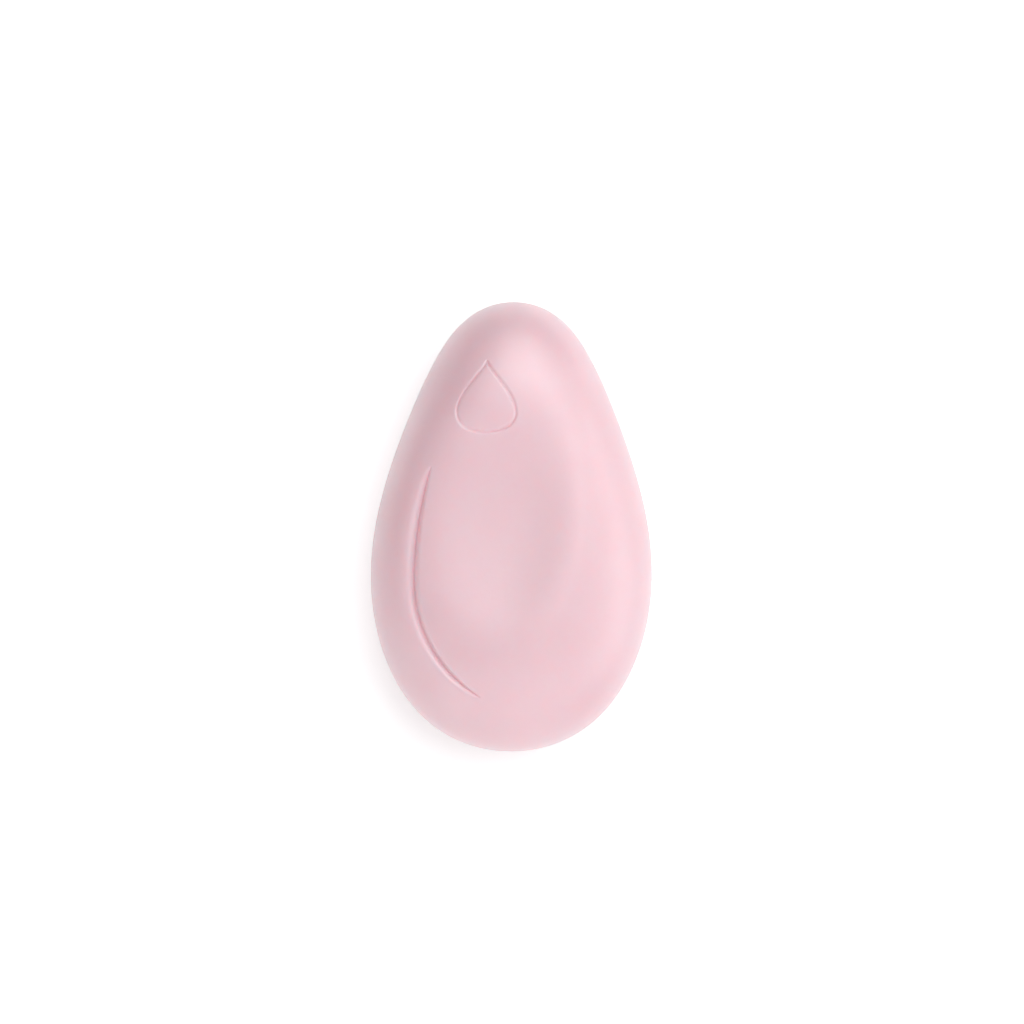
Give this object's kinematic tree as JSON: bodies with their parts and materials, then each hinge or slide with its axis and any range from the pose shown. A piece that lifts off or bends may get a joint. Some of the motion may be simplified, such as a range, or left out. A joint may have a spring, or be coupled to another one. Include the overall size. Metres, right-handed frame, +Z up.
{
  "type": "bar of soap",
  "caption": "Egg-shaped pressed bar of toilet soap with a shallow thumb hollow and a crescent cut with a rolled lip in its face.",
  "frame": {"origin": "on the flat of the back that the bar rests on, under the middle of its length and width", "axes": "+X to the bar's right seen from its face with the narrow tip away, +Y from the wide heel to the narrow tip, +Z up out of the moulded face"},
  "size_m": [0.06, 0.096, 0.0268],
  "materials": {
    "soap": "satin"
  },
  "bodies": {
    "root": {"soap_bar": "soap"}
  },
  "joints": []
}
